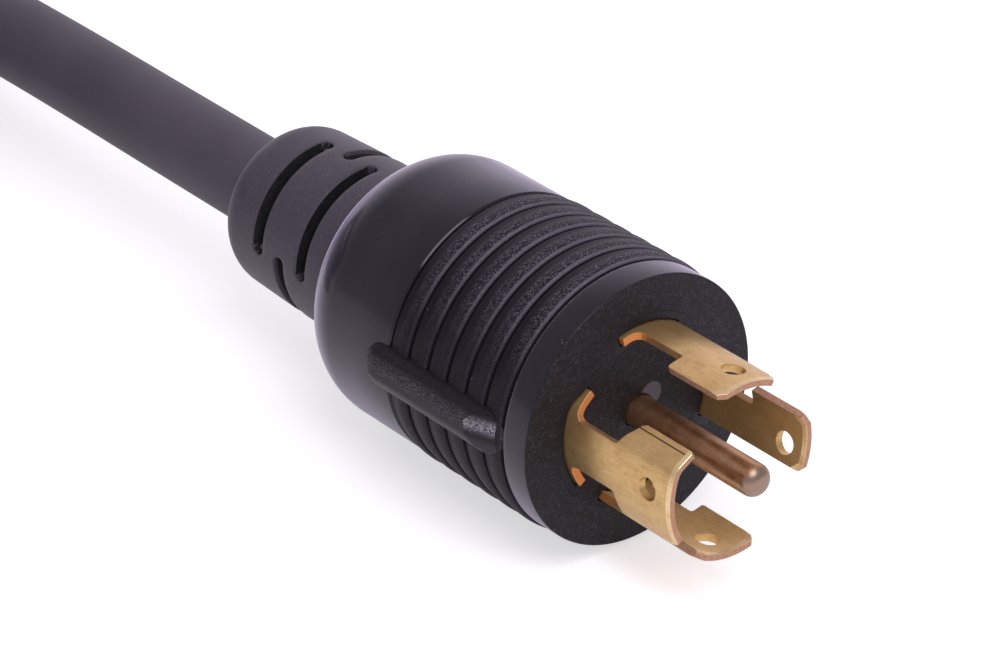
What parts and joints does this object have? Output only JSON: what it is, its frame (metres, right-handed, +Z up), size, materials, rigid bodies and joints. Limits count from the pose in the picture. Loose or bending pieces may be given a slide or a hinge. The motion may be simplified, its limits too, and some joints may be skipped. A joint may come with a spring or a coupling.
{
  "type": "shore power cord",
  "caption": "Moulded locking plug with curved blades and a round earth pin, on a thick cable kept as a tied hank that ends in a matching locking connector.",
  "frame": {"origin": "centre of the plug's front face, on the earth pin's axis", "axes": "+X along the plug's axis towards the blade tips, +Z up, the cable lies level behind the plug"},
  "size_m": [0.6359, 0.2167, 0.1376],
  "materials": {
    "overmould": "satin, grained face",
    "relief": "matt",
    "carrier": "satin",
    "cable": "matt",
    "blade_brass": "satin",
    "pin_brass": "brown, bright tip",
    "crimp_brass": "satin",
    "wire_black": "satin",
    "wire_red": "satin",
    "wire_orange": "satin",
    "wire_white": "satin",
    "wire_green": "satin",
    "strap": "hook-and-loop weave",
    "strap_loop": "satin"
  },
  "bodies": {
    "root": {"plug_body": "overmould", "plug_relief": "relief", "plug_carrier": "carrier", "plug_core": "carrier", "plug_jacket": "cable", "plug_crimps": "crimp_brass", "blade_x": "blade_brass", "blade_y": "blade_brass", "blade_z": "blade_brass", "blade_neutral": "blade_brass", "earth_pin": "pin_brass", "plug_wire_x": "wire_black", "plug_wire_y": "wire_red", "plug_wire_z": "wire_orange", "plug_wire_neutral": "wire_white", "plug_wire_earth": "wire_green", "cord_lead": "cable", "cord_hank": "cable", "cord_tail": "cable", "tie_strap": "strap", "tie_loop": "strap_loop", "connector_body": "overmould", "connector_relief": "relief", "connector_insert": "carrier", "connector_core": "carrier", "connector_jacket": "cable", "connector_crimps": "crimp_brass", "contact_x": "crimp_brass", "contact_y": "crimp_brass", "contact_z": "crimp_brass", "contact_neutral": "crimp_brass", "contact_earth": "crimp_brass", "connector_wire_x": "wire_black", "connector_wire_y": "wire_red", "connector_wire_z": "wire_orange", "connector_wire_neutral": "wire_white", "connector_wire_earth": "wire_green"}
  },
  "joints": []
}
